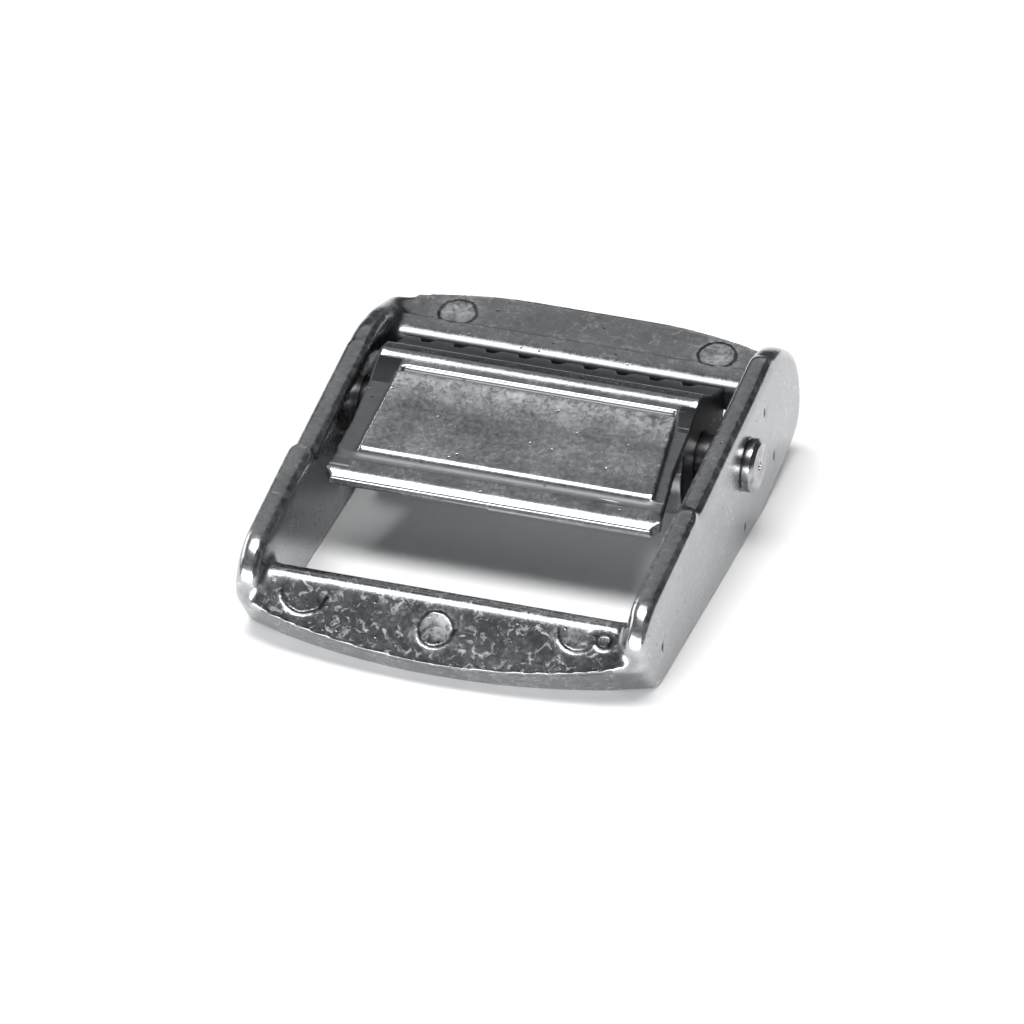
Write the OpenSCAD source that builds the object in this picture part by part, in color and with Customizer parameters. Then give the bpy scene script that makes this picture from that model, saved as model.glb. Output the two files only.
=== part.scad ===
// Cam buckle for narrow webbing: a cast frame, a toothed cam lever on a rivet pin, and its torsion spring.
// X runs across the webbing, +Y towards the rear bar, +Z up; the origin is under the middle of the frame.

/* [Webbing] */
// Width of the webbing that the buckle takes
web_w = 25; // [20:1:38]
// Play between the webbing and each cheek
web_play = 1.5; // [1.2:0.1:3]

/* [Frame] */
// Length from the crown of the front bar to the tail of the cheeks
frame_l = 40.8; // [39:0.1:48]
// Thickness of a cheek
cheek_t = 2; // [1.6:0.1:3]
// Slope of the top edge of the cheeks, in degrees
cheek_slope = 9.2; // [7:0.1:11]
// Height of the cheeks above the base, at the pin
cheek_h = 11.1; // [10.4:0.1:13]
// Radius of the big round at the tail of the cheeks
tail_r = 7.8; // [6.6:0.1:7.9]
// How much lower the tail of the left cheek is than that of the right cheek
left_drop = 5; // [0:0.1:5.2]
// Radius of the round under the tail
heel_r = 2.2; // [1:0.1:2.2]
// Length of the underside of the tail that rises from the base
heel_l = 9.9; // [7:0.1:11]
// Angle at which the underside of the tail rises, in degrees
heel_slope = 11; // [6:0.5:13]
// Radius of the round at the nose of the cheeks
nose_r = 3.6; // [2:0.1:4]
// Distance from the crown of the front bar back to the nose of the cheeks
nose_back = 1.95; // [1.6:0.05:3]
// Height of the step in the top edge of the cheeks
step_h = 0.35; // [0.1:0.05:0.6]
// Distance of that step in front of the pin
step_front = 11.8; // [10:0.1:13]
// Radius of the corners of the frame, seen from above
corner_r = 1.1; // [0.9:0.1:2.4]

/* [Front bar] */
// Angle of the undercut below the front of the frame, from upright, in degrees
undercut = 40; // [30:1:45]
// How far the front bows out between its ends, square to the undercut
front_bow = 2.5; // [1.5:0.1:3]
// Height of the ridge along the top of the front bar
ridge_h = 5.7; // [5:0.1:6.4]
// Angle of the sloping front face, in degrees
face_slope = 45; // [38:1:50]
// Depth of the bar behind its ridge
ridge_back = 1.9; // [1.4:0.1:3]
// Radius of the round in the corners between the front bar and the cheeks
inner_r = 1.1; // [0.6:0.1:2]

/* [Rear bar] */
// Distance from the pin axis to the front of the rear bar
throat = 6.2; // [5.9:0.05:6.8]
// Height of the clamping lip above the base
lip_h = 9.1; // [8.6:0.1:9.6]
// Thickness of the rear bar
rear_t = 2.6; // [2:0.1:3.2]
// Rise of the top of the rear bar towards the tail, in degrees
rear_slope = 9; // [5:0.5:12]
// Width of the raised bead behind the lip
bead_w = 2.1; // [1.4:0.1:2.6]
// Height of that bead
bead_h = 0.3; // [0.1:0.05:0.4]
// Distance from the tail of the cheeks forward to the crown of the rear edge
rear_back = 0.95; // [0.5:0.05:1.5]
// How far the rear edge bows out between its ends
rear_bow = 2.4; // [1.5:0.1:3]

/* [Pin] */
// Diameter of the pin
pin_d = 3.5; // [3:0.1:4]
// Distance from the tail of the cheeks forward to the pin axis
pin_back = 13.65; // [13:0.05:14.4]
// Height of the pin axis above the base
pin_h = 6.5; // [6:0.1:7]
// Diameter of the head, on the right
head_d = 4.1; // [3.8:0.1:5]
// How far the head stands out of the cheek
head_h = 0.9; // [0.6:0.05:1.2]
// Radial clearance of the pin in the cheeks and in the cam
pin_fit = 0.05; // [0.02:0.01:0.1]

/* [Cam lever] */
// Gap between the barrel of the cam and each cheek
cam_gap = 1.5; // [1.2:0.05:1.8]
// Gap between the end of the thumb lip and each cheek
thumb_gap = 0.95; // [0.7:0.05:1.2]
// How far the cam lies to the left in its side play
cam_aside = 0.25; // [0:0.05:0.3]
// Radius of the barrel
barrel_r = 4.6; // [4.4:0.05:4.9]
// Distance from the pin axis forward to the thumb lip
thumb_l = 12.3; // [11.5:0.1:13]
// Height of the thumb plate's top above the pin axis, carried on to the lip
thumb_h = 0.87; // [0.6:0.01:1.2]
// Slope of the thumb plate, in degrees
thumb_slope = 16.3; // [14:0.1:18]
// Thickness of the thumb plate
thumb_t = 0.9; // [0.85:0.05:1.3]
// Width of the bevel along the top of the lip
bevel_w = 0.6; // [0.4:0.05:0.8]
// Slope of the bevels that face forward, in degrees
bevel_slope = 30; // [24:1:36]
// Height of the raised panel on the thumb plate
panel_h = 0.45; // [0.2:0.05:0.6]
// Width of the side strip beside the panel, at the barrel
strip_w = 1.85; // [1.4:0.05:2.6]
// Width of the side strip beside the panel, at the lip
strip_front_w = 1.35; // [0.9:0.05:2]
// Depth of the strip between the panel and the lip
panel_front = 2.1; // [1.6:0.05:2.6]
// How far the rib behind the panel stands above the barrel
rib_h = 0.3; // [0.1:0.05:0.5]
// Pitch of the teeth across the cam
tooth_pitch = 2.57; // [2:0.01:3]
// Gap between the tooth tips and the rear bar with the lever shut
tooth_gap = 0.25; // [0.15:0.05:0.5]
// Height of the upper tooth tips above the pin axis
tooth_h = 2.45; // [2.2:0.05:2.6]
// Depth of the teeth
tooth_d = 0.9; // [0.5:0.05:1.1]
// Angle between the rows of teeth, in degrees
row_step = 17; // [14:1:19]
// Number of rows of teeth
rows = 4; // [2:1:5]

/* [Spring] */
// Diameter of the spring wire
wire_d = 0.8; // [0.6:0.05:0.9]
// Mean radius of the spring's coils
coil_r = 2.75; // [2.6:0.05:2.85]
// Number of turns
turns = 4; // [3:1:5]
// Gap between neighbouring turns
turn_gap = 0.15; // [0.1:0.05:0.25]
// Clearance round the spring in its pocket and at its ends
wire_fit = 0.15; // [0.1:0.05:0.2]

/* [Hidden] */
$fn = 64;
zinc = [0.62, 0.63, 0.64];
steel = [0.75, 0.76, 0.77];
past = 1;

// Widths
clear_w = web_w + 2 * web_play;
frame_w = clear_w + 2 * cheek_t;
barrel_w = clear_w - 2 * cam_gap;
thumb_w = clear_w - 2 * thumb_gap;
barrel_end = -barrel_w / 2 - cam_aside;

// Lines across the frame
front_y = -frame_l / 2;
tail_y = frame_l / 2;
pin_y = tail_y - pin_back;
pin_r = pin_d / 2;
nose_y = front_y + nose_back;

rim_r = 0.6;
rim_fall = 1.6;
left_rim_fall = 0.4;
rim_share = 1 / 3;
shoulder = 3.2;
shoulder_share = 0.05;
haunch = 6.5;
haunch_share = 0.24;
left_low = 0.3;
tail_share = 0.6;
bow_n = 32;
corner_n = 6;
plan_over = 0.05;
down_a = 270;
round_n = 12;

// Front bar
crown_z = 2.1;
ridge_y = front_y + (ridge_h - crown_z) / tan(face_slope);
bar_back_y = ridge_y + ridge_back;
bar_back_drop = 0.5;
bar_back_r = 0.8;
bar_foot_r = 1.2;
bar_ridge_r = 0.2;
ridge_w = 0.6;

// Rear bar
lip_r = 0.25;
lip_w = 0.7;
rear_edge_r = 0.6;
rear_under_r = 0.8;

// Cam
tip_r = norm([throat - tooth_gap, tooth_h]);
tip_a = atan2(tooth_h, throat - tooth_gap);
row_drop = 0.28;
facet_a = 30;
groove_d = 0.8;
groove_floor = 2 / 9 * tooth_pitch;
groove_mouth = 5 / 6 * tooth_pitch;
tooth_back = 0.75 * row_step;
root_r = barrel_r - 0.1;
thumb_edge_r = 0.2;
thumb_corner = 0.8;
tooth_shift = 0.45;
panel_aside = 0.35;
panel_rear = 1.8;
rib_w = 1.25;
rib_r = 0.5;
rib_back = 1.4;
channel_w = 0.5;
channel_d = 0.55;
flare_l = 5.5;
lever_h = 4 * barrel_r;

// Pin
dimple_r = 0.35;
pin_bevel = 0.3;

// Spring
turn_pitch = wire_d + turn_gap;
wire_r = wire_d / 2;
pocket_r = coil_r + wire_r + wire_fit;
coil_l = turns * turn_pitch;
pocket_l = 3 * wire_d + coil_l;
leg_hole_r = wire_r + wire_fit;
leg_l = 1.8;
cheek_hole_share = 0.6;
cheek_hole_l = cheek_hole_share * cheek_t;
leg_a = 235;

function unit(v) = v / norm(v);
function cheek_top(y) = cheek_h + (y - pin_y) * tan(cheek_slope);

// Points along an arc, from one angle to another, with or without its two ends.
function arc(centre, r, from_a, to_a, n, ends = 1) =
    [for (i = [1 - ends:n - 1 + ends]) let (a = from_a + (to_a - from_a) * i / n) centre + r * [cos(a), sin(a)]];

// Corner number i of an outline, counted round and round.
function corner(corners, i) = let (c = corners[(i + len(corners)) % len(corners)]) [c[0], c[1]];

// Centre, start and end of the arc that rounds corner number i.
function corner_arc(corners, i) =
    let (q = corner(corners, i), r = corners[i][2])
    let (u = unit(corner(corners, i - 1) - q), v = unit(corner(corners, i + 1) - q))
    let (half = acos(u * v) / 2)
        [q + unit(u + v) * r / sin(half), q + u * r / tan(half), q + v * r / tan(half)];

// A convex outline given as corners [u, v, radius], with true arcs at the corners that have a radius.
module rounded(corners) {
    last = len(corners) - 1;
    polygon([for (i = [0:last]) each corners[i][2] > 0
        ? [corner_arc(corners, i)[1], corner_arc(corners, i)[2]]
        : [corner(corners, i)]]);
    for (i = [0:last])
        if (corners[i][2] > 0) {
            bend = corner_arc(corners, i);
            intersection() {
                translate(bend[0]) circle(r = corners[i][2]);
                polygon([
                    bend[0],
                    bend[0] + 2 * (bend[1] - bend[0]),
                    bend[0] + 4 * (corner(corners, i) - bend[0]),
                    bend[0] + 2 * (bend[2] - bend[0])
                ]);
            }
        }
}

// The same outline as points, with an even number of steps round each corner.
function angle(v) = atan2(v[1], v[0]);
function short_way(a) = (a + 540) % 360 - 180;
function stepped(corners) =
    [for (i = [0:len(corners) - 1]) each corners[i][2] > 0
        ? let (bend = corner_arc(corners, i), from_a = angle(bend[1] - bend[0]))
            let (turn = short_way(angle(bend[2] - bend[0]) - from_a))
                arc(bend[0], corners[i][2], from_a, from_a + turn, round_n)
        : [corner(corners, i)]];

// A closed skin over a row of rings of points, which all have the same number of points.
module skin(rings) {
    count = len(rings);
    sides = len(rings[0]);
    polyhedron(
        [for (ring = rings) each ring],
        concat(
            [[for (k = [0:sides - 1]) k]],
            [for (i = [0:count - 2]) for (k = [0:sides - 1])
                let (next = (k + 1) % sides)
                    [i * sides + next, i * sides + k, (i + 1) * sides + k, (i + 1) * sides + next]],
            [[for (k = [sides - 1:-1:0]) (count - 1) * sides + k]]
        )
    );
}

// A side section, drawn as (y, z), drawn out across the buckle.
module across(width) {
    rotate([90, 0, 90]) linear_extrude(width, center = true) children();
}

// A round bar along X, centred on the pin axis.
module on_pin(r, from_x, to_x) {
    translate([from_x, pin_y, pin_h]) rotate([0, 90, 0]) cylinder(r = r, h = to_x - from_x);
}

// The outline of a cheek, drawn in by an inset, with its top edge set lower and by a fall that grows to the tail.
function cheek_outline(inset, low, fall) =
    let (rise = heel_l * tan(heel_slope), shoulder_y = pin_y + shoulder, haunch_y = pin_y + haunch)
        stepped([
            [nose_y + inset, 0, 0],
            [nose_y + inset, cheek_top(nose_y) - inset - low, nose_r],
            [shoulder_y, cheek_top(shoulder_y) - inset - low - shoulder_share * fall, 0],
            [haunch_y, cheek_top(haunch_y) - inset - low - haunch_share * fall, 0],
            [tail_y - inset / 2, cheek_top(tail_y) - inset - fall, tail_r - tail_share * fall - inset],
            [tail_y - inset / 2, rise + inset, heel_r],
            [tail_y - heel_l, 0, 0]
        ]);

// The part of a cheek in front of the step in its top edge.
function nose_outline(inset) =
    let (step_y = pin_y - step_front)
        stepped([
            [nose_y + inset, 0, 0],
            [nose_y + inset, cheek_top(nose_y) + step_h - inset, nose_r],
            [step_y - inset, cheek_top(step_y) + step_h - inset, 0],
            [step_y - inset, 0, 0]
        ]);

module front_bar_section() {
    polygon(stepped([
        [ridge_y - ridge_h / tan(face_slope), 0, 0],
        [ridge_y - ridge_w / 2, ridge_h - ridge_w / 2 * tan(face_slope), bar_ridge_r],
        [ridge_y + ridge_w / 2, ridge_h - ridge_w / 2 * tan(face_slope) + ridge_w * tan(bevel_slope), bar_ridge_r],
        [bar_back_y, ridge_h - bar_back_drop, bar_back_r],
        [bar_back_y, 0, bar_foot_r]
    ]));
}

module rear_bar_section() {
    lip_y = pin_y + throat;
    back_y = tail_y - rear_back;
    rise = (back_y - lip_y) * tan(rear_slope);
    polygon(stepped([
        [lip_y, lip_h - rear_t / 2, 0],
        [lip_y + lip_w, lip_h - bead_h + lip_w * tan(rear_slope), 0],
        [back_y, lip_h - bead_h + rise, rear_edge_r],
        [back_y, lip_h - rear_t + rise / 2, rear_under_r],
        [lip_y, lip_h - rear_t, rear_under_r]
    ]));
    polygon(stepped([
        [lip_y, lip_h - lip_w * (tan(bevel_slope) - tan(rear_slope)), lip_r],
        [lip_y + lip_w, lip_h + lip_w * tan(rear_slope), lip_r],
        [lip_y + bead_w, lip_h + bead_w * tan(rear_slope), 0],
        [lip_y + bead_w, lip_h - rear_t / 2, 0],
        [lip_y, lip_h - rear_t / 2, 0]
    ]));
}

// A side outline at a distance from the inner face of the right cheek.
function at_cheek(out, outline) = [for (p = outline) [clear_w / 2 + out, p[0], p[1]]];

// The right cheek: outlines from its soft outer rim, growing and shrinking again, to the inner face.
module cheek(low, drop, outer_fall) {
    skin([
        at_cheek(cheek_t, cheek_outline(rim_r, low, drop + outer_fall)),
        at_cheek(cheek_t - rim_share * rim_r, cheek_outline(rim_share * rim_r, low, drop + rim_share * outer_fall)),
        at_cheek(cheek_t - rim_r, cheek_outline(0, low, drop)),
        at_cheek(rim_r, cheek_outline(0, low, drop)),
        at_cheek(rim_share * rim_r, cheek_outline(rim_share * rim_r, low, drop)),
        at_cheek(0, cheek_outline(rim_r, low, drop))
    ]);
    skin([
        at_cheek(cheek_t, nose_outline(rim_r)),
        at_cheek(cheek_t - rim_share * rim_r, nose_outline(rim_share * rim_r)),
        at_cheek(cheek_t - rim_r, nose_outline(0)),
        at_cheek(rim_r, nose_outline(0)),
        at_cheek(rim_share * rim_r, nose_outline(rim_share * rim_r)),
        at_cheek(0, nose_outline(rim_r))
    ]);
}

// Radius of an arc with the given rise over the width of the frame.
function bow_r(bow) = (frame_w * frame_w / 4 + bow * bow) / (2 * bow);

// The frame seen from above: a bowed front edge at the crown, round corners, and straight sides.
module bowed_plan(crown, bow, corner, length) {
    r = bow_r(bow);
    side_x = frame_w / 2 + plan_over;
    corner_x = side_x - corner;
    corner_y = crown + r - sqrt(pow(r - corner, 2) - corner_x * corner_x);
    turn = asin(corner_x / (r - corner));
    polygon(concat(
        arc([0, crown + r], r, down_a - turn, down_a + turn, bow_n, 0),
        arc([corner_x, corner_y], corner, down_a + turn, 360, corner_n),
        [[side_x, crown + length], [-side_x, crown + length]],
        arc([-corner_x, corner_y], corner, 180, down_a - turn, corner_n)
    ));
}

// What is left of the frame under its bowed front: a prism that leans forward with the undercut.
module under_front() {
    crown = (front_y + crown_z * tan(undercut)) * cos(undercut);
    rotate([undercut, 0, 0])
        translate([0, 0, -frame_l])
            linear_extrude(3 * frame_l) bowed_plan(crown, front_bow, corner_r, 2 * frame_l);
}

// What is left of the rear bar inside its bowed rear edge.
module inside_rear() {
    linear_extrude(2 * cheek_h)
        mirror([0, 1]) bowed_plan(rear_back - tail_y, rear_bow, rear_t / 2, frame_l / 2);
}

// Upright fillets in the corners between the front bar and the cheeks.
module bar_fillets() {
    linear_extrude(ridge_h - bar_back_drop - bar_back_r)
        for (side = [0, 1])
            mirror([side, 0, 0])
                difference() {
                    translate([clear_w / 2 - inner_r, bar_back_y - bar_back_r])
                        square([inner_r + cheek_t / 2, inner_r + bar_back_r]);
                    translate([clear_w / 2 - inner_r, bar_back_y + inner_r]) circle(r = inner_r);
                }
}

module frame() {
    color(zinc)
        difference() {
            intersection() {
                union() {
                    cheek(0, 0, rim_fall);
                    mirror([1, 0, 0]) cheek(left_low, left_drop, left_rim_fall);
                    across(clear_w + 2 * rim_r) front_bar_section();
                    bar_fillets();
                    intersection() {
                        across(frame_w - cheek_t) rear_bar_section();
                        inside_rear();
                    }
                }
                under_front();
            }
            on_pin(pin_r + pin_fit, -frame_w / 2 - past, frame_w / 2 + past);
            spring_hole(-clear_w / 2 - cheek_hole_l, -clear_w / 2 + past);
        }
}

// Upper surface of the thumb plate beside its panel, about the pin axis.
function plate_top(y) = thumb_h + (y + thumb_l) * tan(thumb_slope);

module plate_section(from_y) {
    drop = thumb_t / cos(thumb_slope);
    bevel_y = -thumb_l + bevel_w;
    rounded([
        [-thumb_l, plate_top(bevel_y) - bevel_w * tan(bevel_slope), thumb_edge_r],
        [bevel_y, plate_top(bevel_y), thumb_edge_r],
        [from_y, plate_top(from_y), 0],
        [from_y, plate_top(from_y) - drop, 0],
        [-thumb_l, thumb_h - drop, thumb_edge_r]
    ]);
}

module panel_section() {
    from_y = -thumb_l + panel_front;
    polygon([
        [from_y, plate_top(from_y) - thumb_t / 2],
        [from_y + panel_h, plate_top(from_y) + panel_h],
        [-panel_rear - panel_h / 2, plate_top(-panel_rear) + panel_h],
        [-panel_rear, plate_top(-panel_rear) - thumb_t / 2]
    ]);
}

// The rib behind the panel: it slopes up from the channel to a soft crest.
module rib_section() {
    crest_z = barrel_r + rib_h;
    rounded([
        [-panel_rear + channel_w, crest_z - rib_w * tan(bevel_slope), 0],
        [-panel_rear + channel_w + rib_w, crest_z, rib_r],
        [rib_back, crest_z - rib_h, 0],
        [rib_back, 0, 0],
        [-panel_rear + channel_w, 0, 0]
    ]);
}

module tooth_section() {
    function row_a(i) = tip_a - i * row_step;
    function row_r(i) = tip_r - i * row_drop;
    function spoke(r, a) = r * [cos(a), sin(a)];
    polygon(concat(
        [[0, 0], spoke(root_r, tip_a + facet_a)],
        [for (i = [0:rows - 1])
            each [spoke(row_r(i), row_a(i)), spoke(row_r(i) - tooth_d, row_a(i) - tooth_back)]],
        [spoke(root_r, row_a(rows))]
    ));
}

// Grooves round the cam that part its ribs into teeth.
module tooth_grooves() {
    count = floor(barrel_w / tooth_pitch);
    for (i = [0:count - 1])
        translate([(i - (count - 1) / 2) * tooth_pitch - tooth_shift, 0, 0])
            rotate([0, 90, 0])
                rotate_extrude()
                    polygon([
                        [tip_r - groove_d, -groove_floor / 2],
                        [tip_r + past, -groove_mouth / 2],
                        [tip_r + past, groove_mouth / 2],
                        [tip_r - groove_d, groove_floor / 2]
                    ]);
}

module cam_body() {
    flare_y = -thumb_l + flare_l;
    across(barrel_w) {
        circle(r = barrel_r);
        rib_section();
        plate_section(0);
    }
    difference() {
        across(barrel_w) tooth_section();
        tooth_grooves();
    }
    intersection() {
        across(thumb_w) plate_section(flare_y);
        linear_extrude(lever_h, center = true)
            polygon([
                [-thumb_w / 2 + thumb_corner, -thumb_l],
                [thumb_w / 2 - thumb_corner, -thumb_l],
                [thumb_w / 2, -thumb_l + thumb_corner],
                [barrel_w / 2, flare_y],
                [-barrel_w / 2, flare_y],
                [-thumb_w / 2, -thumb_l + thumb_corner]
            ]);
    }
    intersection() {
        across(thumb_w) panel_section();
        translate([panel_aside, 0]) linear_extrude(lever_h, center = true)
            polygon([
                [-thumb_w / 2 + strip_front_w, -thumb_l],
                [thumb_w / 2 - strip_front_w, -thumb_l],
                [barrel_w / 2 - strip_w, 0],
                [-barrel_w / 2 + strip_w, 0]
            ]);
    }
}

module cam_lever() {
    color(zinc)
        difference() {
            translate([-cam_aside, pin_y, pin_h]) {
                difference() {
                    cam_body();
                    translate([panel_aside, -panel_rear + channel_w / 2, barrel_r])
                        cube([barrel_w - 2 * strip_w, channel_w, 2 * channel_d], center = true);
                }
            }
            on_pin(pin_r + pin_fit, -frame_w / 2, frame_w / 2);
            on_pin(pocket_r, -frame_w / 2, barrel_end + pocket_l);
            spring_hole(barrel_end, barrel_end + pocket_l + leg_l + wire_fit);
        }
}

// A headed pin: the head on the right has a small dimple, the left end is flush with the cheek.
module pivot_pin() {
    color(steel)
        difference() {
            translate([-frame_w / 2, pin_y, pin_h])
                rotate([0, 90, 0])
                    rotate_extrude()
                        polygon([
                            [0, 0],
                            [pin_r - pin_bevel, 0],
                            [pin_r, pin_bevel],
                            [pin_r, frame_w + pin_fit],
                            [head_d / 2, frame_w + pin_fit],
                            [head_d / 2, frame_w + head_h - pin_bevel],
                            [head_d / 2 - pin_bevel, frame_w + head_h],
                            [0, frame_w + head_h]
                        ]);
            translate([frame_w / 2 + head_h, pin_y, pin_h]) sphere(r = dimple_r);
        }
}

// A hole along X for a leg of the spring.
module spring_hole(from_x, to_x) {
    translate([from_x, pin_y + coil_r * cos(leg_a), pin_h + coil_r * sin(leg_a)])
        rotate([0, 90, 0]) cylinder(r = leg_hole_r, h = to_x - from_x);
}

// The spring's wire, unrolled: distance along X against distance round the coil.
bend_n = 5;
coil_n = 12;
wrap = 2 * PI * coil_r;
leg_end = -clear_w / 2 - cheek_hole_l + wire_fit;
coil_x = barrel_end + wire_d;
bend_r = wire_d;
coil_path = concat(
    [[leg_end, 0], [coil_x - bend_r, 0]],
    [for (i = [1:bend_n]) [coil_x - bend_r + bend_r * sin(90 * i / bend_n), bend_r * (1 - cos(90 * i / bend_n))]],
    [for (i = [1:turns * coil_n - 1]) let (t = i / (turns * coil_n))
        [coil_x + t * coil_l, bend_r + t * (turns * wrap - 2 * bend_r)]],
    [for (i = [0:bend_n]) [
        coil_x + coil_l + bend_r * (1 - cos(90 * i / bend_n)),
        turns * wrap - bend_r + bend_r * sin(90 * i / bend_n)
    ]],
    [[barrel_end + pocket_l + leg_l, turns * wrap]]
);

module torsion_spring() {
    sides = 8;
    n = len(coil_path);
    function radial(i) = let (a = leg_a + 360 * coil_path[i][1] / wrap) [0, cos(a), sin(a)];
    function place(i) = [coil_path[i][0], pin_y, pin_h] + coil_r * radial(i);
    function along(i) = unit(place(min(i + 1, n - 1)) - place(max(i - 1, 0)));
    function ring(i) = [for (k = [0:sides - 1])
        place(i) + wire_r * (cos(360 * k / sides) * radial(i) + sin(360 * k / sides) * cross(along(i), radial(i)))];
    color(steel) skin([for (i = [0:n - 1]) ring(i)]);
}

frame();
cam_lever();
pivot_pin();
torsion_spring();
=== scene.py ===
"""The looks of the cam buckle: bare, tumbled zinc castings on a steel pin, on a pale studio floor."""

import math

import bpy
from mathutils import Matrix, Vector


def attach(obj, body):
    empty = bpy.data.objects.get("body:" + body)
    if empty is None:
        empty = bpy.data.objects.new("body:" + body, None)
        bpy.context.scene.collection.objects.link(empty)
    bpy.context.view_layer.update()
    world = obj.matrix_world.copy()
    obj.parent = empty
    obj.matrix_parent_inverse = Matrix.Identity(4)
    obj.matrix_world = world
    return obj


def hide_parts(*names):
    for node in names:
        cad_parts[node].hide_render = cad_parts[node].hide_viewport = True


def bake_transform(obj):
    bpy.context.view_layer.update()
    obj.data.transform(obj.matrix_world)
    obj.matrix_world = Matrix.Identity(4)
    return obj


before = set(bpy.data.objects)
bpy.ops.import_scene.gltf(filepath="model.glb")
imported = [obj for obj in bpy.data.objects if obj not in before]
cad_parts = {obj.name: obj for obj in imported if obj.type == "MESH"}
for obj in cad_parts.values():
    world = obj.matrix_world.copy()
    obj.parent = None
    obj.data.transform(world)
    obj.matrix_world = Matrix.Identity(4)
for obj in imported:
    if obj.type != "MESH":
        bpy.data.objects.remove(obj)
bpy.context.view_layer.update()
MM = 0.001

# Places on the buckle, in millimetres.
PIN_Y, PIN_Z = 6.75, 6.5
CHEEK_X = 16.0            # outer face of the right cheek
WALL_X = 14.15            # just past the cheeks' inner walls
BAR_X = 13.6              # just short of the bars' ends
REAR_BAR_Y = 13.6         # just behind the rear bar's lip
FACE_Z_LESS_Y = 22.5      # the same all over the sloping front face
FACE_TILT = 45.0          # degrees, the front face
REAR_TILT = 9.0           # degrees, the top of the rear bar
CAM_X = -0.25             # middle of the cam, which lies to the left in its side play
PANEL_X = 0.1             # middle of the raised panel

# The ejector marks: x, y, z, radius, height where the ring fades out, how broken it is, how pale its inside is.
FRONT_MARKS = (
    (-10.6, -17.61, 4.89, 1.8, 5.1, 0.5, 0.2),
    (-0.2, -18.5, 4.0, 1.32, 6.0, 0.1, 1.0),
    (10.4, -17.34, 5.16, 1.5, 5.4, 0.5, 0.4),
    (12.5, -17.6, 4.87, 0.6, 5.4, 0.4, 0.3))
REAR_MARKS = (
    (-9.9, 16.4, 9.45, 1.45, 12.0, 0.2, 1.0),
    (10.5, 16.47, 9.46, 1.45, 12.0, 0.1, 1.0))
RING_GROOVE = 0.12        # radius of the groove that a ring leaves
# The upright slots in the right cheek: y, z, half their height.
CHEEK_PITS = ((10.9, 8.6, 0.42), (13.5, 3.3, 0.5), (6.3, 1.3, 0.4), (-14.1, 3.0, 0.5))
PIT_DEPTH, PIT_HALF_WIDTH = 0.4, 0.18

# Tumbling: size of the even skin's faces, rounds of smoothing, and boxes that are rounded further, with their rounds.
FRAME_SKIN = (0.182, 4)
FRAME_ROUNDED = (
    ((-16.6, -22, -1), (-13.4, 22, 14), 15),      # left cheek
    ((-17, -21, -1), (-13, -15.5, 4.6), 8),       # the foot of its nose
    ((13.4, -22, -1), (16.6, 22, 14), 15),        # right cheek
    ((13, -21, -1), (17, -15.5, 4.6), 8),         # the foot of its nose
    ((-17, 8, 7), (-13.4, 19, 14), 30),           # left tail
    ((-14.5, -18, 4.6), (14.5, -14, 7), 12),      # ridge of the front bar
    ((-14.5, 12.5, 7.5), (14.5, 14.6, 11), 12))   # lip of the rear bar
CAM_SKIN = (0.15, 5)
CAM_ROUNDED = (
    ((-14, -4.2, 7), (14, -2.8, 11), 12),         # front edge of the panel
    ((-12.3, 5.6, 10.4), (11.8, 7.4, 12), 16))    # brow of the barrel
RUB_ROUNDS = 30

# The zinc's tones: dull skin, clean skin, bright grain, pale crust.
FRAME_TONES = ("#828588", "#9a9da0", "#b2b4b6", "#dcdedf")
CAM_TONES = ("#94979a", "#9fa2a5", "#bcbec0", "#dcdee0")

# Kinds of node that are used often.
ATTRIBUTE = "ShaderNodeAttribute"
MAPPING = "ShaderNodeMapping"
MATH = "ShaderNodeMath"
MIX = "ShaderNodeMix"
NOISE = "ShaderNodeTexNoise"
RANGE = "ShaderNodeMapRange"
SPLIT = "ShaderNodeSeparateXYZ"
VECTOR = "ShaderNodeVectorMath"


def only(piece):
    """Selects one piece and nothing else."""
    bpy.ops.object.select_all(action="DESELECT")
    piece.select_set(True)
    bpy.context.view_layer.objects.active = piece


def apply_modifiers(piece):
    """Puts a piece's modifiers into its mesh."""
    only(piece)
    for modifier in list(piece.modifiers):
        bpy.ops.object.modifier_apply(modifier=modifier.name)


def smooth(piece, name, rounds):
    """Smooths a piece all over."""
    modifier = piece.modifiers.new(name, "SMOOTH")
    modifier.factor = 0.5
    modifier.iterations = rounds
    apply_modifiers(piece)


def casting(cad_node, name):
    """A workable copy of a CAD node: its triangles merged into one skin."""
    piece = bpy.data.objects.new(name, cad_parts[cad_node].data.copy())
    piece.data.materials.clear()
    bpy.context.scene.collection.objects.link(piece)
    only(piece)
    bpy.ops.object.mode_set(mode="EDIT")
    bpy.ops.mesh.select_all(action="SELECT")
    bpy.ops.mesh.remove_doubles(threshold=0.0005 * MM)
    bpy.ops.object.mode_set(mode="OBJECT")
    return piece


def ring_tool(place, tilt, radius):
    """A thin ring that cuts an ejector mark's groove."""
    bpy.ops.mesh.primitive_torus_add(
        location=Vector(place) * MM, rotation=(math.radians(tilt), 0, 0), major_radius=radius * MM,
        minor_radius=RING_GROOVE * MM, major_segments=48, minor_segments=10)
    return bpy.context.object


def pit_tool(y, z, half):
    """A flat bead that cuts an upright slot in the right cheek."""
    bpy.ops.mesh.primitive_uv_sphere_add(location=Vector((CHEEK_X, y, z)) * MM, radius=1, segments=16, ring_count=10)
    bpy.context.object.scale = Vector((PIT_DEPTH, PIT_HALF_WIDTH, half)) * MM
    return bpy.context.object


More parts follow.
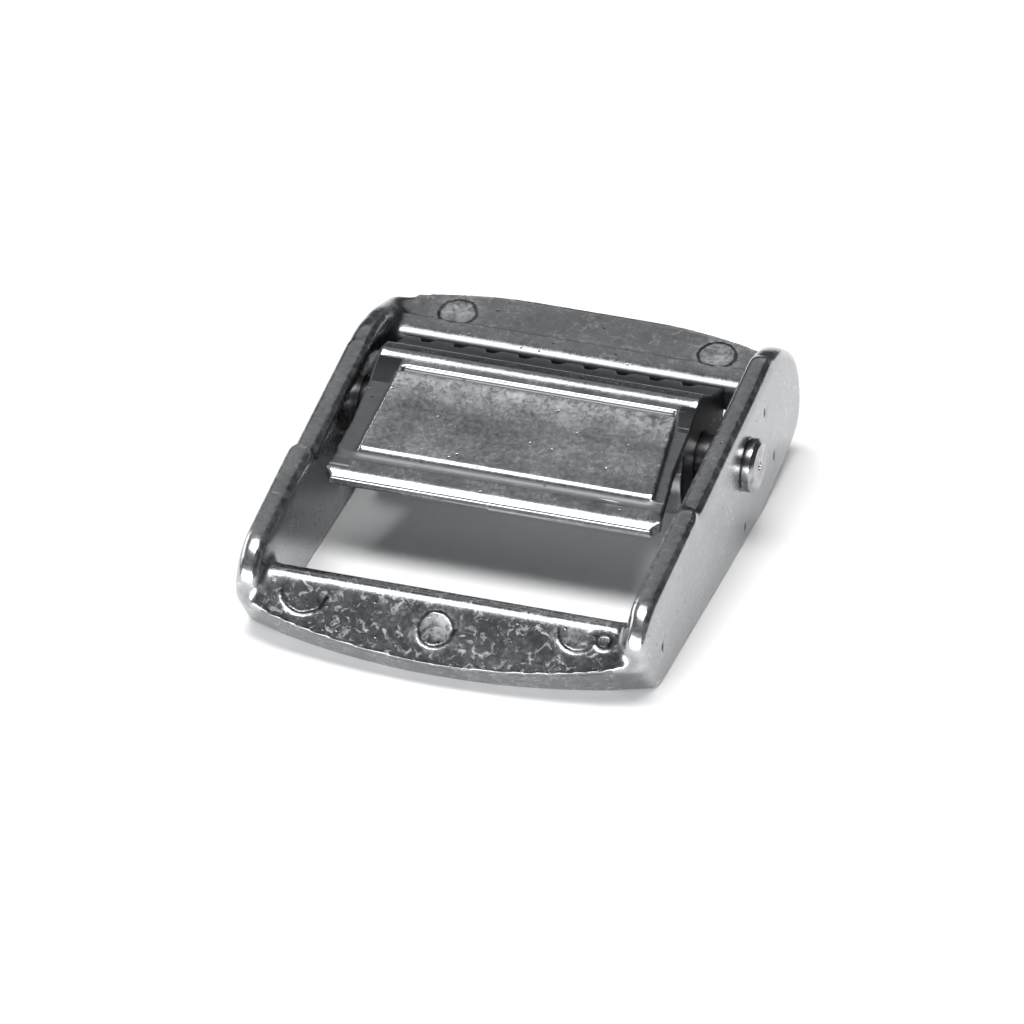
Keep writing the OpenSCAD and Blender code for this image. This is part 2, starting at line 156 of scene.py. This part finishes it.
def cut(piece, tools):
    """Takes the tools' shapes out of a piece."""
    for tool in tools:
        only(tool)
        bpy.ops.object.transform_apply(location=True, rotation=True, scale=True)
    bpy.ops.object.select_all(action="DESELECT")
    for tool in tools:
        tool.select_set(True)
    bpy.context.view_layer.objects.active = tools[0]
    bpy.ops.object.join()
    boolean = piece.modifiers.new("cut", "BOOLEAN")
    boolean.operation = "DIFFERENCE"
    boolean.solver = "EXACT"
    boolean.use_self = True
    boolean.object = tools[0]
    apply_modifiers(piece)
    bpy.data.objects.remove(tools[0])


def tumble(piece, skin, rounded):
    """Rounds a casting's edges as tumbling does: a fine even skin, smoothed, and smoothed further inside some boxes."""
    face, rounds = skin
    only(piece)
    piece.data.remesh_voxel_size = face * MM
    bpy.ops.object.voxel_remesh()
    smooth(piece, "tumbled", rounds)
    only(piece)
    bpy.ops.object.shade_smooth()
    for low, high, times in rounded:
        bpy.ops.object.mode_set(mode="EDIT")
        bpy.ops.mesh.select_mode(type="VERT")
        bpy.ops.mesh.select_all(action="DESELECT")
        bpy.ops.object.mode_set(mode="OBJECT")
        for vertex in piece.data.vertices:
            vertex.select = all(a * MM < c < b * MM for a, c, b in zip(low, vertex.co, high))
        bpy.ops.object.mode_set(mode="EDIT")
        bpy.ops.mesh.vertices_smooth(factor=0.5, repeat=times)
        bpy.ops.object.mode_set(mode="OBJECT")


def keep(piece, name, values):
    """Keeps a value at each point of a piece, for its material."""
    piece.data.attributes.new(name, "FLOAT", "POINT").data.foreach_set("value", values)


def rub(piece):
    """Keeps how far each point stands out of a much smoother skin, in millimetres: rubbed edges, and hollows that the
    materials darken as painted shade.
    """
    only(piece)
    bpy.ops.object.duplicate()
    worn = bpy.context.object
    smooth(worn, "worn", RUB_ROUNDS)
    pairs = zip(piece.data.vertices, worn.data.vertices)
    keep(piece, "rub", [(point.co - smoother.co).dot(point.normal) / MM for point, smoother in pairs])
    bpy.data.objects.remove(worn)


def places(piece):
    """Each point's place in millimetres."""
    return [point.co / MM for point in piece.data.vertices]


def frame_dull_skin_and_gap_shade(x, y, z):
    """The dull casting skin of the sloping front face, and painted shade in the gaps round the cam: the cheeks' inner
    walls and the rear bar's front wall.
    """
    near_face = 0.3 if z > 3.6 else 0.7
    if abs(z - y - FACE_Z_LESS_Y) < near_face and abs(x) < BAR_X:
        return 0.45
    # the gaps round the cam: painted shade on the cheeks' inner walls and the rear bar's front wall
    if abs(x) > WALL_X:
        return 0.0
    behind = (16.0 - y) / 4.0 if abs(x) > BAR_X else float(y < 13.5)
    return max(min((y - 1.0) / 3.0, (10.0 - z) / 1.5, behind, 1.0), 0.0)


def frame_crust(x, y, z):
    """How much pale crust is left: most on the front face, some on the rear bar, little on the rubbed cheeks."""
    if abs(x) > BAR_X:
        return 0.12
    return 0.8 if y < -15.5 else 0.4 if y > REAR_BAR_Y else 0.1


def cam_painted_shade(x, y, z):
    """The cam's painted shade, drawn as dark, matt skin: its ends, the toothed side, the foot of the panel, and the
    strips beside the panel, where shade falls and glints are kept out.
    """
    if abs(x - CAM_X) > 12.35 and y > -0.2:
        return 1.0
    if y > 8.3:
        return 0.75
    if -3.8 < y < -3.0 and z < 8.27:
        return 0.9
    if y > 6.1 or z < 7.6:
        return 0.0
    past_panel = abs(x - PANEL_X) - (11.2 - 0.085 * y)
    return min(max(past_panel / 0.15, 0.0), 1.25 if y > 3.9 else 1.0)


def cam_crust(x, y, z):
    """A little on the thumb plate and its panel, none on the barrel and the teeth."""
    return 0.25 if y < 5 and z > 7.2 and abs(x - PANEL_X) < 11.3 else 0.0


def cam_scuff_and_sheen(x, y, z):
    """The pale, scuffed part of the panel below its rib, paler towards the rib, where it is also a painted highlight
    that widens the rib's bright band.
    """
    on_panel = y < 4.8 and z > 8.5 and abs(x - PANEL_X) < 11
    return min(max((y - 1.6) / 4.2, 0.0), 0.7) if on_panel else 0.0


def colour(code):
    """A linear colour from an sRGB hex code."""
    parts = [int(code[i:i + 2], 16) / 255 for i in (1, 3, 5)]
    return [c / 12.92 if c <= 0.04045 else ((c + 0.055) / 1.055) ** 2.4 for c in parts] + [1.0]


def node(tree, kind, inputs=(), out=0, **settings):
    """Adds a node with its settings, sets or links its inputs, and gives one of its outputs."""
    made = tree.nodes.new(kind)
    for name, value in settings.items():
        setattr(made, name, value)
    for socket, value in inputs.items() if isinstance(inputs, dict) else enumerate(inputs):
        if isinstance(value, bpy.types.NodeSocket):
            tree.links.new(value, made.inputs[socket])
        else:
            made.inputs[socket].default_value = value
    return made.outputs[out] if made.outputs else None


def new_material(name):
    """A material and its node tree, still empty."""
    material = bpy.data.materials.new(name)
    material.use_nodes = True
    material.node_tree.nodes.clear()
    return material, material.node_tree


def ring_marks(tree, where, marks):
    """The ejector marks' broken ring lines and the pale bloom inside them, as two values."""
    waver, breaks = [
        node(tree, NOISE, {"Vector": where, "Scale": 1 / (size * MM), "Detail": 4, "Roughness": 0.6}, "Fac")
        for size in (1.2, 2.0)]
    waver = node(tree, MATH, (waver, 0.5), operation="SUBTRACT")
    waver = node(tree, MATH, (waver, 0.5 * MM), operation="MULTIPLY")
    breaks = node(tree, RANGE, (breaks, 0.42, 0.56, 0, 1))
    height = node(tree, SPLIT, (where,), "Z")
    line, bloom = 0.0, 0.0
    for x, y, z, radius, top, broken, pale in marks:
        away = node(tree, VECTOR, (where, Vector((x, y, z)) * MM), "Value", operation="DISTANCE")
        away = node(tree, MATH, (away, waver), operation="ADD")
        off = node(tree, MATH, (away, radius * MM), operation="SUBTRACT")
        off = node(tree, MATH, (off,), operation="ABSOLUTE")
        drawn = node(tree, RANGE, (off, 0.18 * MM, 0.07 * MM, 0, 1))
        lost = node(tree, MATH, (breaks, broken), operation="MULTIPLY")
        whole = node(tree, RANGE, (height, top * MM, (top - 0.4) * MM, 0, 1))
        whole = node(tree, MATH, (whole, lost), operation="SUBTRACT")
        drawn = node(tree, MATH, (whole, drawn), operation="MULTIPLY")
        line = node(tree, MATH, (line, drawn), operation="MAXIMUM")
        inside = node(tree, RANGE, (away, 1.9 * radius * MM, 0.5 * radius * MM, 0, pale))
        bloom = node(tree, MATH, (bloom, inside), operation="MAXIMUM")
    return line, bloom


def cheek_slot_shade(tree, where, pits):
    """Painted shade inside the upright slots in the right cheek."""
    dark = 0.0
    right = node(tree, RANGE, (node(tree, SPLIT, (where,), "X"), 14 * MM, 15 * MM, 0, 1))
    half_width = 0.2  # a little more than the cut's
    for y, z, half in pits:
        placed = node(tree, MAPPING, {
            "Vector": where, "Location": (0, -y / half_width, -z / half),
            "Scale": (0, 1 / (half_width * MM), 1 / (half * MM))})
        off = node(tree, VECTOR, (placed,), "Value", operation="LENGTH")
        inside = node(tree, MATH, (right, node(tree, RANGE, (off, 1.15, 0.7, 0, 1))), operation="MULTIPLY")
        dark = node(tree, MATH, (dark, inside), operation="MAXIMUM")
    return dark


def zinc(name, tones, crust_from, wear, marks=(), pits=()):
    """Zinc alloy, die cast and tumbled, left bare. Where it was rubbed it is glossy and mirrors the lamps and the dark
    room; the casting skin that tumbling missed is darker or crusted, so it shows dull grey with whitish blots, dark
    pits and fine scratches. Shade is painted in too: in the gaps round the cam, on the cam's ends, teeth, panel foot
    and strips, in hollows and inside the cheek's slots; near the rib the panel's pale scuffing is partly a painted
    highlight."""
    material, tree = new_material(name)
    where = node(tree, "ShaderNodeTexCoord", out="Object")
    # blot size in millimetres, detail, roughness, twist
    clouds, grain, blots, patches = [
        node(tree, NOISE, {"Vector": where, "Scale": 1 / (size * MM), "Detail": detail, "Roughness": rough,
                           "Distortion": twist}, "Fac")
        for size, detail, rough, twist in ((3.5, 5, 0.6, 0), (0.35, 5, 0.65, 0), (0.75, 8, 0.72, 0.9), (5, 4, 0.6, 0))]
    edge, dull_skin_and_shade, crusty, scuff_and_sheen = [
        node(tree, ATTRIBUTE, out="Fac", attribute_name=kept) for kept in ("rub", "dull_skin_and_shade", "crust", "bloom")]

    # rubbed edges, but not on dull skin or painted shade, and hollows, darkened as painted shade
    worn = node(tree, RANGE, (edge, wear, 4 * wear, 0, 1))
    worn = node(tree, MATH, (worn, node(tree, RANGE, (dull_skin_and_shade, 0, 0.4, 1, 0))), operation="MULTIPLY")
    # painted shade in hollows
    hollow_shade = node(tree, RANGE, (edge, -0.015, -0.06, 0, 1))

    # pale crust in blots, and the bloom of the marks and of the scuffed panel, which towards the rib is also a painted
    # highlight
    line, bloom = ring_marks(tree, where, marks)
    bloom = node(tree, MATH, (bloom, scuff_and_sheen), operation="MAXIMUM")
    bloom = node(tree, MATH, (bloom, node(tree, RANGE, (blots, 0.38, 0.66, 0, 1))), operation="MULTIPLY")
    crust = node(tree, RANGE, (blots, crust_from, crust_from + 0.12, 0, 1))
    crust = node(tree, MATH, (crust, crusty), operation="MULTIPLY")
    crust = node(tree, MATH, (crust, bloom), operation="MAXIMUM")

    # scratches: noise drawn out along one line, in patches
    drawn_out = node(tree, MAPPING, {"Vector": where, "Rotation": (0.2, 0.5, 0.6), "Scale": (0.06, 1, 1)})
    scratch = node(tree, NOISE, {
        "Vector": drawn_out, "Scale": 1 / (0.3 * MM), "Detail": 2, "Roughness": 0.5}, "Fac")
    scratch = node(tree, RANGE, (scratch, 0.66, 0.7, 0, 1))
    scratch = node(tree, MATH, (scratch, node(tree, RANGE, (patches, 0.45, 0.6, 0, 1))), operation="MULTIPLY")

    # dark ring lines, pinholes, and painted shade inside the slots
    pinhole = node(tree, "ShaderNodeTexVoronoi", {"Vector": where, "Scale": 1 / (1.1 * MM)}, "Distance")
    pinhole = node(tree, RANGE, (pinhole, 0.11, 0.06, 0, 0.8))
    pinhole = node(tree, MATH, (pinhole, node(tree, RANGE, (clouds, 0.46, 0.52, 0, 1))), operation="MULTIPLY")
    dark = node(tree, MATH, (line, 0.95), operation="MULTIPLY")
    dark = node(tree, MATH, (dark, pinhole), operation="MAXIMUM")
    dark = node(tree, MATH, (dark, cheek_slot_shade(tree, where, pits)), operation="MAXIMUM")

    low, clean, bright, pale = [colour(tone) for tone in tones]
    skin = node(tree, MIX, {0: node(tree, RANGE, (clouds, 0.32, 0.68, 0, 1)), 6: low, 7: clean}, 2, data_type="RGBA")
    skin = node(tree, MIX, {0: node(tree, RANGE, (grain, 0.3, 0.7, 0, 0.5)), 6: skin, 7: bright}, 2, data_type="RGBA")
    # the dull layer is dull skin on the front face and painted shade in the gaps, on the cam's ends, teeth, panel foot
    # and strips; the hollow layer is painted shade in hollows
    for layer, share, tone in (
            (dull_skin_and_shade, 0.85, colour("#303133")), (crust, 0.5, pale), (scratch, 0.7, pale),
            (worn, 0.5, colour("#e6e7e8")), (hollow_shade, 0.7, colour("#4a4b4d")), (dark, 1.0, colour("#2c2d2f"))):
        layer = node(tree, MATH, (layer, share), operation="MULTIPLY")
        skin = node(tree, MIX, {0: layer, 6: skin, 7: tone}, 2, data_type="RGBA")

    matt = node(tree, MATH, (hollow_shade, node(tree, RANGE, (dull_skin_and_shade, 0.6, 0.85, 0, 1))), operation="MAXIMUM")
    rough = node(tree, RANGE, (grain, 0.35, 0.65, 0.22, 0.27))
    for layer, share in (
            (crust, 0.14), (worn, -0.08), (node(tree, RANGE, (clouds, 0.35, 0.65, -0.02, 0.03)), 1.0),
            (matt, 0.2), (node(tree, RANGE, (dull_skin_and_shade, 0.9, 1.4, 0, 0.3)), 1.0)):
        rough = node(tree, MATH, (layer, share, rough), operation="MULTIPLY_ADD")

    height = 0.0
    for layer, share in ((grain, 0.16), (crust, 0.2), (blots, 0.2), (clouds, 0.4), (dark, -0.8)):
        height = node(tree, MATH, (layer, share, height), operation="MULTIPLY_ADD")
    bump = node(tree, "ShaderNodeBump", {"Height": height, "Strength": 0.5, "Distance": 0.05 * MM})

    # crust and burred edges are partly oxide, not bare metal
    burr = node(tree, RANGE, (blots, 0.42, 0.58, 0, 0.25))
    burr = node(tree, MATH, (worn, burr), operation="MULTIPLY")
    bare = node(tree, MATH, (crust, -0.45, 1.0), operation="MULTIPLY_ADD")
    bare = node(tree, MATH, (bare, burr), operation="SUBTRACT")
    shader = node(tree, "ShaderNodeBsdfPrincipled", {
        "Base Color": skin, "Roughness": rough, "Metallic": bare, "Normal": bump})
    node(tree, "ShaderNodeOutputMaterial", {"Surface": shader})
    return material


def steel(name, dark, pale, rough, ring_gap):
    """Plain steel, turned or drawn. It has no casting grain, only shallow rings round the pin's line from the tool, so
    its highlights are even. The rings are coarser than a tool leaves them, so that they show."""
    material, tree = new_material(name)
    where = node(tree, "ShaderNodeTexCoord", out="Object")
    clouds = node(tree, NOISE, {"Vector": where, "Scale": 1 / (0.8 * MM), "Detail": 5, "Roughness": 0.6}, "Fac")
    clouds = node(tree, RANGE, (clouds, 0.35, 0.65, 0, 1))
    tint = node(tree, MIX, {0: clouds, 6: colour(dark), 7: colour(pale)}, 2, data_type="RGBA")
    round_pin = node(tree, MAPPING, {"Vector": where, "Location": (0, -PIN_Y * MM, -PIN_Z * MM)})
    unit_turn = 20  # radians that the wave texture turns through in one unit at scale 1
    rings = node(tree, "ShaderNodeTexWave", {
        "Vector": round_pin, "Scale": math.tau / (ring_gap * MM) / unit_turn, "Distortion": 0.6},
        "Fac", wave_type="RINGS", rings_direction="X")
    bump = node(tree, "ShaderNodeBump", {"Height": rings, "Strength": 0.2, "Distance": 0.01 * MM})
    shader = node(tree, "ShaderNodeBsdfPrincipled", {
        "Base Color": tint, "Metallic": 1.0, "Roughness": rough, "Normal": bump})
    node(tree, "ShaderNodeOutputMaterial", {"Surface": shader})
    return material


def paper(name):
    """Matt white paper. It is lifted a little where it is seen or mirrored, and keeps the buckle's shadow."""
    material, tree = new_material(name)
    seen = 0.0
    for ray in ("Is Camera Ray", "Is Glossy Ray", "Is Transmission Ray"):
        seen = node(tree, MATH, (seen, node(tree, "ShaderNodeLightPath", out=ray)), operation="MAXIMUM")
    lift = node(tree, MATH, (seen, 0.03), operation="MULTIPLY")
    shader = node(tree, "ShaderNodeBsdfPrincipled", {
        "Base Color": colour("#f4f4f4"), "Roughness": 0.9, "Specular IOR Level": 0.0,
        "Emission Color": (1, 1, 1, 1), "Emission Strength": lift})
    node(tree, "ShaderNodeOutputMaterial", {"Surface": shader})
    return material


def make_frame():
    """The frame casting, with its ejector marks and the slots in its right cheek."""
    piece = casting("frame", "frame_casting")
    tools = [ring_tool(mark[:3], FACE_TILT, mark[3]) for mark in FRONT_MARKS]
    tools += [ring_tool(mark[:3], REAR_TILT, mark[3]) for mark in REAR_MARKS]
    tools += [pit_tool(*pit) for pit in CHEEK_PITS]
    cut(piece, tools)
    tumble(piece, FRAME_SKIN, FRAME_ROUNDED)
    rub(piece)
    # dull skin on the front face, painted shade in the gaps round the cam
    keep(piece, "dull_skin_and_shade", [frame_dull_skin_and_gap_shade(*place) for place in places(piece)])
    keep(piece, "crust", [frame_crust(*place) for place in places(piece)])
    return piece


def make_cam():
    """The cam lever's casting."""
    piece = casting("cam_lever", "cam_casting")
    tumble(piece, CAM_SKIN, CAM_ROUNDED)
    rub(piece)
    # painted shade on the cam's ends, teeth, panel foot and strips
    keep(piece, "dull_skin_and_shade", [cam_painted_shade(*place) for place in places(piece)])
    keep(piece, "crust", [cam_crust(*place) for place in places(piece)])
    # pale scuffing on the panel, partly a painted highlight by the rib
    keep(piece, "bloom", [cam_scuff_and_sheen(*place) for place in places(piece)])
    return piece


def make_pin():
    """The headed pin, its edges broken."""
    piece = casting("pivot_pin", "pin")
    bevel = piece.modifiers.new("edges", "BEVEL")
    bevel.width = 0.08 * MM
    bevel.segments = 3
    bevel.limit_method = "ANGLE"
    bevel.angle_limit = math.radians(30)
    apply_modifiers(piece)
    only(piece)
    bpy.ops.object.shade_smooth_by_angle(angle=math.radians(40))
    return piece


def make_spring():
    """The torsion spring, its wire made round."""
    piece = casting("torsion_spring", "spring_wire")
    round_wire = piece.modifiers.new("round", "SUBSURF")
    round_wire.levels = 1
    round_wire.render_levels = 1
    apply_modifiers(piece)
    only(piece)
    bpy.ops.object.shade_smooth()
    return piece


def dress(piece, material, cad_node):
    """Gives a piece its material and hides the CAD node it stands for."""
    piece.data.materials.clear()
    piece.data.materials.append(material)
    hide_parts(cad_node)
    return piece


def make_floor():
    """The paper under the buckle, which is no part of it."""
    bpy.ops.object.select_all(action="DESELECT")
    bpy.ops.mesh.primitive_plane_add(size=3)
    floor = bpy.context.object
    floor.name = "floor"
    floor.data.materials.append(paper("pale_paper"))


def softbox(name, place, size, power):
    """An oblong soft lamp at a place in metres, aimed at the buckle."""
    data = bpy.data.lights.new(name, "AREA")
    data.shape = "RECTANGLE"
    data.size, data.size_y = size
    data.energy = power
    lamp = bpy.data.objects.new(name, data)
    bpy.context.scene.collection.objects.link(lamp)
    lamp.location = place
    lamp.rotation_euler = (-Vector(place)).to_track_quat("-Z", "Y").to_euler()


def make_world():
    """A dim room all round."""
    world = bpy.data.worlds.new("studio")
    bpy.context.scene.world = world
    world.use_nodes = True
    tree = world.node_tree
    tree.nodes.clear()
    light = node(tree, "ShaderNodeBackground", {"Color": (0.06, 0.06, 0.063, 1)})
    node(tree, "ShaderNodeOutputWorld", {"Surface": light})


def make_camera():
    """A long lens from the right and above."""
    turn, rise = math.radians(18.0), math.radians(31.8)
    distance = 1.2
    picture_width = 1024 / 13.42 * MM  # pixels across, by pixels to a millimetre of the buckle
    aside, above = -0.275 * MM, 2.764 * MM
    right = Vector((math.cos(turn), math.sin(turn), 0))
    up = Vector((-math.sin(rise) * math.sin(turn), math.sin(rise) * math.cos(turn), math.cos(rise)))
    back = right.cross(up)
    data = bpy.data.cameras.new("camera")
    data.sensor_width = 36
    data.lens = 36 * distance / picture_width
    data.clip_start = 0.01
    data.clip_end = 10
    camera = bpy.data.objects.new("camera", data)
    bpy.context.scene.collection.objects.link(camera)
    camera.location = right * aside + up * above + back * distance
    camera.rotation_euler = back.to_track_quat("Z", "Y").to_euler()
    bpy.context.scene.camera = camera


frame_zinc = zinc("tumbled_zinc_frame", FRAME_TONES, 0.54, 0.02, FRONT_MARKS + REAR_MARKS, CHEEK_PITS)
cam_zinc = zinc("tumbled_zinc_cam", CAM_TONES, 0.64, 0.03)
pin_steel = steel("turned_steel", "#848486", "#b4b4b6", 0.26, 0.754)
wire_steel = steel("drawn_spring_wire", "#6b6b6d", "#8d8d8f", 0.3, 0.628)
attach(dress(make_frame(), frame_zinc, "frame"), "frame")
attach(dress(make_cam(), cam_zinc, "cam_lever"), "cam")
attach(dress(make_pin(), pin_steel, "pivot_pin"), "frame")
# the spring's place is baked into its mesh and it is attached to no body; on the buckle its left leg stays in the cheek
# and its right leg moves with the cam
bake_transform(dress(make_spring(), wire_steel, "torsion_spring"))

make_floor()
make_world()
softbox("overhead", (-0.03, -0.14, 0.95), (0.8, 0.38), 11.5)   # mirrored in edges that lean forward
softbox("front", (-0.1, -1.05, 0.18), (1.6, 0.26), 17.0)       # low and wide
softbox("left", (-1.0, 0.2, 0.4), (1.0, 0.5), 4.0)
softbox("back wall", (-0.3, 0.85, 0.85), (1.2, 0.7), 0.95)     # dim, mirrored in the level tops
make_camera()
bpy.context.scene.view_settings.view_transform = "Standard"
